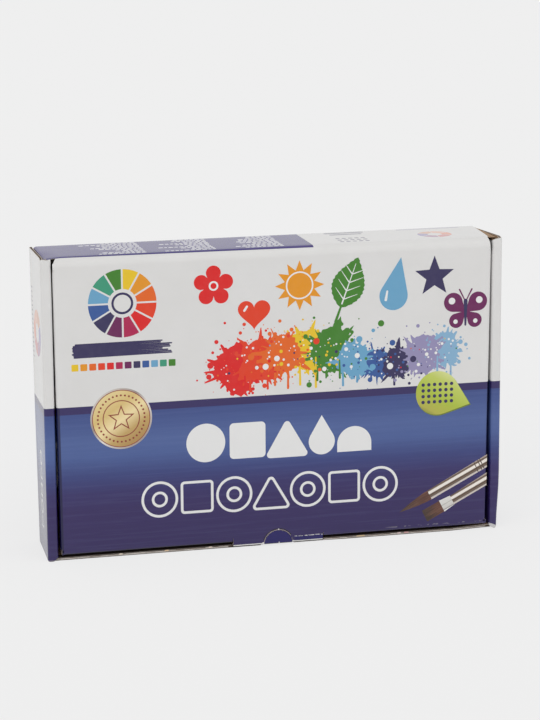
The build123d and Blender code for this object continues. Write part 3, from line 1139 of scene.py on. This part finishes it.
def blot(centre, radius, chance):
    """A blot of paint with uneven sides and thin spikes, cut off straight at the stripe below."""
    seed = chance.uniform(0, 50)
    spikes = [(chance.uniform(0, 2 * math.pi), chance.uniform(0.15, 0.75) ** 1.3, chance.uniform(0.03, 0.075))
              for number in range(26)]

    def reach(angle):
        lobes, fringe = [noise.noise((scale * math.cos(angle), scale * math.sin(angle), seed))
                         for scale in (1.3, 7)]
        total = 1 + 0.35 * lobes + 0.10 * fringe
        for middle, height, width in spikes:
            apart = abs((angle - middle + math.pi) % (2 * math.pi) - math.pi)
            total += height * 0.6 * math.exp(-(apart / width) ** 4)
        return radius * total

    return [(u, max(v, stripe_high + 0.15 + 0.001 * (u - centre[0]))) for u, v in polar(centre, reach, 240)]


def paint_splash():
    """Puddles of paint side by side in the colours of the rainbow, with drips and droplets."""
    sheet = Sheet("lid_splash", on_lid)
    chance = random.Random(11)
    colours = (RED, VERMILION, ORANGE, YELLOW, GREEN, LIGHT_BLUE, BLUE, NAVY, LILAC, linear(130, 170, 200))
    radii = (12, 11, 10, 9.5, 11, 9, 8, 7.5, 9.5, 8)
    droplets, droplets_high = 620, 121
    puddles = []
    for number, (colour, radius) in enumerate(zip(colours, radii)):
        centre = (-22 + number * 12.4, 98 + 5 * math.sin(0.8 * number - 0.6))
        puddles.append((centre, radius, colour))
        sheet.fill(blot(centre, radius, chance), colour, 1 + number % 3)
    for centre, radius, colour in puddles:
        for share in (-0.45, 0.4):
            u = centre[0] + (share + chance.uniform(-0.15, 0.15)) * radius
            low = stripe_high + chance.uniform(0.9, 8)
            sheet.fill(bar((u, centre[1] - 4), (u + chance.uniform(-0.3, 0.3), low), 0.4, 0.6), colour, 4)
    placed = []
    for number in range(droplets):
        centre, radius, colour = chance.choice(puddles)
        if chance.random() < 0.3:
            colour = chance.choice(puddles)[2] if chance.random() < 0.3 else INK_WHITE
            away = radius * chance.uniform(0.3, 0.9)
        else:
            away = radius * (1.05 + chance.expovariate(2.6))
        u, v = around(centre, away, chance.uniform(0, 2 * math.pi))
        size = min(0.22 + chance.expovariate(2.6), 1.7, (v - stripe_high) * 0.8)
        apart = all(math.hypot(u - a, v - b) > size + c + 0.05 for a, b, c in placed)
        if size > 0.2 and v < droplets_high and apart and u < lid_half - 2:
            placed.append((u, v, size))
            sheet.fill(disc((u, v), size, 9 if size < 0.6 else 16), colour, 5)
    sheet.finish("lid")


def medal():
    """A round gold medal with a silver rim, a thin red ring and a star."""
    centre = (-81.7, 73)
    silver = shaded_ink("silver", -50, (centre[0] - 11, centre[1] + 12), 32,
                        ((0, 206, 198, 190), (0.35, 150, 138, 130), (0.6, 222, 216, 210), (1, 160, 148, 140)))
    gold = shaded_ink("gold", -55, (centre[0] - 9, centre[1] + 12), 30,
                      ((0, 226, 206, 150), (0.3, 212, 184, 118), (0.52, 236, 216, 164),
                       (0.75, 190, 158, 98), (1, 170, 132, 78)))
    deep = linear(136, 52, 40)
    sheet = Sheet("lid_medal", on_lid)
    for level, (radius, colour) in enumerate(((15.9, silver), (15.0, deep), (14.6, gold)), 1):
        sheet.fill(disc(centre, radius, 72), colour, level)
    sheet.band(disc(centre, 9.6, 64), disc(centre, 9.1, 64), deep, 4)
    sheet.fill(star(centre, 7.2, 5, 0.42), deep, 4)
    sheet.fill(star(centre, 5.6, 5, 0.42), gold, 5)
    for bead in disc(centre, 12.1, 36):
        sheet.fill(disc(bead, 0.55, 10), deep, 4)
    sheet.finish("lid")


def white_shapes():
    """Bold white solids in one row, and thin-lined shapes in the row below."""
    sheet = Sheet("lid_white_shapes", on_lid)
    v = 57.3
    for outline in (disc((-38, v), 10.2, 48), soft_polygon((-16, v), 13.4, 4, 2.2),
                    soft_polygon((5, v - 3.4), 14.0, 3, 1.8), drop((23.5, v - 3.2), 7.0, (23.5, v + 10.8)),
                    arc((41, v - 5.4), 9.2, 0, 180, 28) + [(31.8, v - 9.6), (50.2, v - 9.6)]):
        sheet.fill(outline, INK_WHITE)
    pitch, line, v = 19.6, 1.35, 29
    for number, sides in enumerate((0, 4, 0, 3, 0, 4, 0)):
        u = -62.5 + number * pitch
        if sides:
            reach, low = (12.2, 0) if sides == 4 else (13.0, 3.0)
            inner = reach - line / math.cos(math.pi / sides)
            sheet.band(soft_polygon((u, v - low), reach, sides, 2.0),
                       soft_polygon((u, v - low), inner, sides, 0.8), INK_WHITE)
        else:
            for radius, count in ((9.6, 56), (4.2, 40)):
                sheet.band(disc((u, v), radius, count), disc((u, v), radius - line, count), INK_WHITE)
    sheet.finish("lid")


def count_badge():
    """A green drop with twenty-four dots, one for each jar."""
    centre, radius, tip = (86, 76), 11.7, (103.8, 69.2)
    rows, columns, pitch = 4, 6, 3.1
    green = shaded_ink("badge", 60, (centre[0] - 6, centre[1] - 11), 24,
                       ((0, 128, 132, 60), (0.12, 176, 172, 74), (0.45, 168, 186, 62), (0.8, 188, 200, 96),
                        (1, 206, 212, 140)))
    sheet = Sheet("lid_badge", on_lid, base=6)
    rim = drop((centre[0] + 0.3, centre[1] - 0.5), radius + 0.1, (tip[0] + 0.6, tip[1] - 0.6))
    sheet.fill(rim, printed(112, 126, 60))
    sheet.fill(drop(centre, radius, tip), green, 2)
    for row in range(rows):
        for column in range(columns):
            u = centre[0] + (column - (columns - 1) / 2) * pitch
            v = centre[1] + (row - (rows - 1) / 2) * pitch
            sheet.fill(disc((u, v), 0.95, 16), NAVY, 3)
    sheet.finish("lid")


FERRULE_STOPS = ((0, 196, 188, 182), (0.07, 214, 204, 196), (0.22, 198, 188, 180), (0.27, 84, 66, 54),
                 (0.36, 122, 104, 90), (0.44, 76, 56, 42), (0.53, 104, 82, 66), (0.58, 238, 231, 222),
                 (0.78, 236, 228, 218), (0.83, 112, 90, 74), (0.93, 92, 72, 60), (1, 170, 156, 146))
PLATE_STOPS = ((0, 232, 229, 226), (0.1, 236, 234, 232), (0.14, 112, 102, 98), (0.2, 206, 203, 198),
               (0.48, 214, 212, 206), (0.53, 176, 172, 166), (0.58, 214, 212, 207), (1, 224, 222, 218))


def printed_brush(name, tip, heading, hair, widths, rings=(), plate=None):
    """A picture of a brush: hair from its tip, then a ferrule that runs off the lid's edge.

    widths are the ferrule's where it starts and where it ends, and rings its grooves. plate is the width
    and the length of a flat brush's plate."""
    angle = math.radians(heading)
    ahead, left = Vector((math.cos(angle), math.sin(angle))), Vector((-math.sin(angle), math.cos(angle)))
    edge_x = lid_half - 0.1
    at = lambda along, across: tuple(Vector(tip) + ahead * along + left * across)
    at_edge = lambda across: at((edge_x - tip[0] + across * math.sin(angle)) / math.cos(angle), across)
    hair_material = hair_ink(name + "_hair", heading, tip, hair)
    start_half, end_half = widths[0] / 2, widths[1] / 2
    metal = shaded_ink(name + "_ferrule", heading + 90, at(0, -end_half), 2 * end_half, FERRULE_STOPS,
                       hatch=0.02)
    sheet = Sheet("lid_" + name, on_lid)
    if plate:
        half, plate_end = plate[0] / 2, hair + plate[1]
        ragged = [at(0.35 * (number % 2), half - 2 * half * number / 9) for number in range(10)]
        sheet.fill(ragged + [at(hair + 0.5, -half + 0.15), at(hair + 0.5, half - 0.15)], hair_material)
        plate_ink = shaded_ink(name + "_plate", heading + 90, at(0, -half), 2 * half, PLATE_STOPS)
        sheet.fill([at(hair, half), at(hair, -half), at(plate_end, -start_half - 0.2),
                    at(plate_end, start_half + 0.2)], plate_ink, 3)
        start = plate_end - 0.6
    else:
        belly = [(0.15, 0.22), (0.35, 0.5), (0.6, 0.78), (0.85, 0.97), (1.03, 1.0)]
        lower, upper = [[at(hair * share, side * start_half * width) for share, width in belly]
                        for side in (-1, 1)]
        sheet.fill([tuple(tip)] + lower + upper[::-1], hair_material)
        start = hair
    ferrule = [at(start, start_half), at(start, -start_half), at_edge(-end_half), at_edge(end_half)]
    sheet.fill(ferrule, metal, 2)
    half = end_half * 0.98
    for along in rings:
        groove = [at(along, half), at(along, -half), at(along + 0.5, -half), at(along + 0.5, half)]
        sheet.fill(groove, linear(84, 66, 56), 3)
    sheet.finish("lid", [draw_in])


def top_print():
    """White lines in three columns on the dark block, and pale marks on the white part of the top."""
    sheet = Sheet("top_marks", on_top)
    chance = random.Random(21)
    front_row, row_pitch, stroke, space = -13.2, 3.3, 0.72, 1.9
    for right, width in ((-66.5, 31), (-30.5, 28), (5.0, 27)):
        for row in range(10):
            v = front_row + row * row_pitch
            u = right - chance.uniform(0, 0.8)
            end = right - width * chance.uniform(0.35, 1)
            while u > end:
                run = chance.uniform(0.2, 1.6)
                sheet.fill(bar((u - run, v), (u, v), stroke), linear(244, 244, 244))
                u -= run + space
    grey = linear(128, 126, 140)
    for v, left, right in ((15.2, 35, 54), (10.6, 37, 52)):
        sheet.fill(bar((left, v), (right, v), 1.3), grey)
    for row in range(3):
        for column in range(5):
            sheet.fill(disc((37 + column * 3.4, -10.5 + row * 4.6), 1.25, 16), grey)
    sheet.fill(bar((75, 16.4), (107, 16.4), 1.4), linear(186, 184, 194))
    colour_wheel(sheet, (89.5, -1.5), 9, PALE_HUES)
    sheet.finish("root", [corner_dip])


def left_side_print():
    """A colour wheel on the white part of the left side, and a column of thin white shapes below it."""
    sheet = Sheet("left_marks", on_left, base=6)
    colour_wheel(sheet, (-2, 116), 12, PALE_HUES)
    for row in range(16):
        v = 101 + row * 2.4
        sheet.fill(bar((12.5, v), (15.5, v), 0.4), linear(150, 148, 156))
    for number, sides in enumerate((0, 3, 4, 0, 3)):
        centre = (-1, 50.5 - 8.6 * number)
        outer, inner = disc(centre, 3.9), disc(centre, 2.6)
        if sides:
            outer, inner = soft_polygon(centre, 4.9, sides, 0.8), soft_polygon(centre, 3.2, sides, 0.4)
        sheet.band(outer, inner, INK_WHITE)
    sheet.finish("root", [flare])


def tongue_wear_and_shade(chance):
    """Lines where the tongue is cut and bent: round the half-moon, along its foot and along its dent, with
    painted shadow in the gap above the half-moon and under the foot.
    """
    sheet = Sheet("tongue_wear_and_shade", on_lid)
    # under is the dark colour of the painted shadow lines beneath the tongue's foot.
    paper, under = linear(222, 220, 218), linear(70, 64, 66)
    low = tongue_bottom_z
    foot = low + tongue_rise
    moon_end = thumb_radius + 0.3
    # A pale ring for the half-moon's cut edge, and outside it a dark ring of painted shadow in the gap.
    for start, end, inner, outer, colour, level in ((5, 175, 0, 0.22, linear(176, 162, 168), 1),
                                                    (35, 160, 0.24, 0.8, linear(24, 20, 34), 2)):
        ring = arc((0, low), thumb_radius + outer, start, end, 36)
        sheet.fill(ring + arc((0, low), thumb_radius + inner, end, start, 36), colour, level)
    for u, v, radius in ((-moon_end, foot + 0.55, 0.55), (moon_end, foot + 0.55, 0.55),
                         (0.2, low + moon_end, 0.35)):
        sheet.fill(disc((u, v), radius, 12), paper, 3)
    # Along the foot: a pale worn edge, and beneath it a line of painted shadow.
    for start, end in ((-tongue_half + 0.2, -moon_end), (moon_end, tongue_half - 0.2)):
        sheet.fill(bar((start, foot + 0.46), (end, foot + 0.46), 0.26), paper, 2)
        sheet.fill(bar((start, foot + 0.15), (end, foot + 0.15), 0.15), under)
    u = thumb_radius + 1
    while u < tongue_half - 0.5:
        run = chance.uniform(0.5, 3.4)
        v = dent_z + chance.uniform(-0.05, 0.15)
        sheet.fill(bar((u, v), (min(u + run, tongue_half - 0.3), v), 0.1, chance.uniform(0.1, 0.24)), paper)
        u += run + chance.uniform(0.5, 1.1)
    sheet.finish("lid", [tongue_dent])

    sheet = Sheet("half_moon_wear_and_shade", on_lid)
    half = thumb_radius - 0.6
    # A line of painted shadow under the half-moon's foot.
    sheet.fill(bar((-half, foot + 0.16), (half, foot + 0.16), 0.15), under)
    sheet.fill(disc((0.4, foot + 0.4), 0.34, 12), paper, 2)
    sheet.finish("thumb_tab")


def edge_wear(chance):
    """Torn bits of print on the front wall's raw edge, and the pale patches of its worn liner."""
    sheet = Sheet("edge_nicks", on_raw_edge)
    for u, run, colour in ((-83, 0.7, linear(232, 216, 196)), (-59, 0.8, linear(226, 196, 160)),
                           (-36, 0.6, linear(232, 212, 196)), (45, 2.0, linear(214, 186, 140)),
                           (66, 0.7, linear(232, 206, 204)), (70, 1.0, linear(206, 150, 150))):
        sheet.fill(bar((u - run, 0.95), (u + run, 1.0), 0.3), colour, 2)
    u = 1 - wall_end_x
    while u < wall_end_x - 6:
        run = chance.uniform(3, 6)
        tone = chance.uniform(176, 214)
        if abs(u + run / 2) > tongue_half + 1:
            patch = rectangle(u, u + run, 0.4, chance.uniform(0.75, 1.0))
            sheet.fill(patch, linear(tone, tone - 8, tone - 16))
        u += run
    sheet.finish("root", [front_curl])


emblem()
figures()
paint_splash()
medal()
white_shapes()
count_badge()
printed_brush("round_brush", (65.5, 12.6), 26.8, 18.6, (5.4, 6.2), rings=(48.2, 50.6, 52.0))
printed_brush("flat_brush", (79.3, 9.5), 27.0, 10.8, (5.2, 6.2), plate=(6.9, 6.4))
top_print()
left_side_print()
wear_chance = random.Random(3)
tongue_wear_and_shade(wear_chance)
edge_wear(wear_chance)


# Jars

jar_columns = 6
cap_low, cap_high = corners("jar_caps_column_1")
cup_low, cup_high = corners("jar_cups_column_1")
cap_radius = (cap_high.x - cap_low.x) / 2
skirt_radius = cap_radius - 0.35
jar_base_y = cup_high.y
cap_height = jar_base_y - cap_low.y
skirt_height = jar_base_y - cap_high.y
cup_height = jar_base_y - cup_low.y
cup_rim_radius = cap_radius - 1.25
cup_draft = 0.8
cup_wall = 0.9


def milky_plastic():
    """Milky caps, through which the paint's colour shows faintly."""
    shader = Shader("milky_cap")
    place = shader.own_place()
    cloud = shader.noise(place, 7, 3)
    colour = shader.mix(cloud * 0.08 + 0.14, linear(238, 238, 235), shader.attribute("tint"))
    scuff = shader.noise(place, 0.8, 4)
    return shader.finish(colour, 0.32 + scuff * 0.16, scuff * 0.012, Subsurface_Weight=0.25,
                         Subsurface_Scale=0.004, Specular_IOR_Level=0.5)


def clear_plastic():
    """Frosted cups."""
    shader = Shader("frosted_cup")
    flow = shader.noise(shader.own_place(), 3, 3, stretch=(1, 4, 1))
    colour = shader.mix(flow, linear(226, 230, 230), linear(238, 240, 240))
    return shader.finish(colour, 0.3 + flow * 0.12, flow * 0.01, Transmission_Weight=0.6, IOR=1.49)


def wet_paint(name, colour):
    """Thick paint with a dull wet surface, stirred a little uneven."""
    shader = Shader(name)
    place = shader.own_place()
    swirl = shader.noise(place, 6, 4)
    darker = tuple(part * 0.82 for part in colour[:3]) + (1.0,)
    tone = shader.mix(swirl, darker, tuple(colour[:3]) + (1.0,))
    ripple = shader.noise(place, 2.5, 2)
    return shader.finish(tone, 0.32 + swirl * 0.2, ripple * 0.12, Specular_IOR_Level=0.45)


def lathe(builder, profile, steps):
    """Turns a profile of (radius, height) about an upright axis, and returns its vertices."""
    verts = [builder.verts.new((radius, 0, height)) for radius, height in profile]
    edges = [builder.edges.new(pair) for pair in zip(verts, verts[1:])]
    before = set(builder.verts) - set(verts)
    bmesh.ops.spin(builder, geom=verts + edges, axis=(0, 0, 1), angle=2 * math.pi, steps=steps,
                   use_merge=True)
    made = [vert for vert in builder.verts if vert not in before]
    bmesh.ops.remove_doubles(builder, verts=made, dist=1e-4)
    return [vert for vert in builder.verts if vert not in before]


def cap_profile():
    """Half the section of a cap, from the middle of its disc out and back under it."""
    face = cap_height - 0.8
    ring = cap_radius - 1.6
    plug = cup_rim_radius - cup_wall - 0.25
    top = [(0, face + 0.25), (1.1, face + 0.25), (1.5, face), (10.6, face), (10.9, face + 0.28),
           (12.0, face + 0.28), (12.3, face), (ring - 0.2, face), (ring, face + 0.2),
           (ring + 0.15, cap_height - 0.12), (ring + 0.4, cap_height)]
    top += arc((skirt_radius - 0.7, cap_height - 0.7), 0.7, 90, 0, 4)
    heights = (face - 0.6, face - 0.9, skirt_height + 1.6, skirt_height + 1.3)
    skirt = [(skirt_radius, height) for height in heights]
    skirt += [(cap_radius, skirt_height + 1.0), (cap_radius, skirt_height + 0.2),
              (cap_radius - 0.2, skirt_height), (cap_radius - 0.9, skirt_height),
              (cap_radius - 1.0, skirt_height + 0.3), (cap_radius - 1.0, cup_height)]
    inner = [(plug, cup_height), (plug - 0.1, cup_height - 2.4), (plug - 0.8, cup_height - 2.4),
             (plug - 0.9, cup_height), (0, cup_height)]
    return top + skirt + inner


def cup_profile():
    """Half the section of a cup: foot ring, wall with its ledge, rim, and the inside."""
    base = cup_rim_radius - cup_draft
    rim = cup_rim_radius
    ledge = skirt_height - 0.4
    at = lambda height, out=0: (base + cup_draft * height / cup_height + out, height)
    foot = [(0, 0.4), (base - 2.0, 0.4), (base - 1.8, 0), (base - 0.5, 0), (base, 0.5)]
    bead = [at(4), (at(4, 0.12)[0], 4.2), at(5, 0.12), at(5.2)]
    out = at(ledge, 0.7)[0]
    shoulder = [at(ledge - 0.8), (out, ledge - 0.7), (out, ledge - 0.1), at(ledge)]
    top = [(rim, cup_height - 0.6), (rim - 0.3, cup_height), (rim - cup_wall + 0.2, cup_height),
           (rim - cup_wall, cup_height - 0.3)]
    inside = [(base - cup_wall, 1.4), (base - cup_wall - 0.4, 1.0), (0, 1.0)]
    return foot + bead + shoulder + top + inside


def grip(vert):
    """Fine ribs round the cap's skirt, and a pull lip at one place of its edge."""
    ribs, rib_depth, lip_reach, lip_width = 32, 0.13, 2.2, 0.2
    x, y, height = vert.co
    radius, angle = math.hypot(x, y), math.atan2(y, x)
    if abs(radius - skirt_radius) < 0.01 and skirt_height + 1.55 < height < cap_height - 1.6:
        radius -= rib_depth + rib_depth * math.cos(ribs * angle)
    if height < skirt_height + 1.1 and radius > cap_radius - 0.3:
        radius += lip_reach * math.exp(-((angle - math.pi / 4) / lip_width) ** 4)
    vert.co = Vector((*around((0, 0), radius, angle), height))


def jars():
    """Cups and caps of every jar, in columns, and the paint that is in them."""
    kinds = (("caps", cap_profile(), milky_plastic(), 96), ("cups", cup_profile(), clear_plastic(), 48))
    finishes = {entry["slot"]: entry["base_color"] for entry in frame["record"]["materials"]}
    places = {}
    for name, node in frame["nodes"].items():
        if name.startswith("paint_"):
            low, high = corners(name)
            places[name] = ((low.x + high.x) / 2, (low.z + high.z) / 2)
            node.material_slots[0].material = wet_paint(name, finishes[name])
    for column in range(1, jar_columns + 1):
        low, high = corners(f"jar_caps_column_{column}")
        mine = {name: place for name, place in places.items() if low.x < place[0] < high.x}
        for kind, profile, plastic, steps in kinds:
            builder = bmesh.new()
            tint = builder.verts.layers.float_color.new("tint")
            for name, (x, z) in sorted(mine.items()):
                for vert in lathe(builder, profile, steps):
                    if kind == "caps":
                        grip(vert)
                    vert[tint] = tuple(finishes[name][:3]) + (1.0,)
                    vert.co = Vector((x + vert.co.x, jar_base_y - vert.co.z, z + vert.co.y))
            bmesh.ops.recalc_face_normals(builder, faces=builder.faces[:])
            piece = make_object(f"turned_{kind}_{column}", builder, [plastic], 40)
            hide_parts(f"jar_{kind}_column_{column}")
            "cap_plastic" if kind == "caps" else "cup_plastic"
            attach(piece, "root")


jars()


# Floor, light and camera

def seen_rays(shader):
    """1 for rays that come straight from the camera, by a reflection or through glass."""
    rays = shader.node("ShaderNodeLightPath").socket.node.outputs
    camera_rays, glossy, glass = [Sock(shader, rays[f"Is {kind} Ray"])
                                  for kind in ("Camera", "Glossy", "Transmission")]
    return camera_rays.at_least(glossy).at_least(glass)


def stage():
    """A pale floor under even light from the world and two soft suns.

    Seen straight on, floor and world take the backdrop's colour, and the floor keeps a faint shadow."""
    backdrop, studio_light = linear(239, 239, 239), (0.80, 0.80, 0.80, 1)
    glow_share, floor_half = 0.84, 6000
    shader = Shader("floor")
    grain = shader.noise(shader.own_place(), 4)
    tone = shader.mix(grain, linear(238, 238, 238), linear(240, 240, 240))
    matt = shader.node("ShaderNodeBsdfDiffuse", values={"Color": tone, "Roughness": 0.5})
    glow = shader.node("ShaderNodeEmission", values={"Color": backdrop, "Strength": 1.0})
    share = seen_rays(shader) * glow_share
    surface = shader.node("ShaderNodeMixShader", values={0: share, 1: matt, 2: glow})
    shader.node("ShaderNodeOutputMaterial", values={"Surface": surface})
    builder = bmesh.new()
    bmesh.ops.create_grid(builder, x_segments=2, y_segments=2, size=floor_half)
    make_object("floor", builder, [shader.owner])

    world = Shader("studio", "worlds")
    tone = world.mix(seen_rays(world), studio_light, backdrop)
    background = world.node("ShaderNodeBackground", values={"Color": tone})
    world.node("ShaderNodeOutputWorld", values={"Surface": background})
    bpy.context.scene.world = world.owner

    for name, strength, spread, tilt, turn in (("key_sun", 0.60, 60, 62, -32),
                                               ("fill_sun", 0.25, 80, 60, 35)):
        lamp = bpy.data.lights.new(name, "SUN")
        lamp.energy = strength
        lamp.angle = math.radians(spread)
        sun = bpy.data.objects.new(name, lamp)
        sun.matrix_world = turned(("Z", turn), ("X", tilt))
        bpy.context.scene.collection.objects.link(sun)


def turned(*turns):
    """The rotation made of turns of (axis, degrees)."""
    matrix = Matrix.Identity(4)
    for axis, degrees in turns:
        matrix = matrix @ Matrix.Rotation(math.radians(degrees), 4, axis)
    return matrix


def camera():
    """The photograph's view, found by fitting a pinhole camera to the box's corners."""
    place = Vector((-297.15, -1236.58, 375.20))
    turn, tilt, roll = -13.552, 77.552, -0.40
    focal_pixels = 2501
    long_side = 720
    lens = bpy.data.cameras.new("camera")
    lens.sensor_width = 36
    lens.lens = focal_pixels * lens.sensor_width / long_side
    lens.clip_start = 0.05
    lens.clip_end = 50
    view = bpy.data.objects.new("camera", lens)
    view.matrix_world = Matrix.Translation(place * MM) @ turned(("Z", turn), ("X", tilt), ("Z", roll))
    bpy.context.scene.collection.objects.link(view)
    bpy.context.scene.camera = view


stage()
camera()
bpy.context.scene.view_settings.view_transform = "Standard"
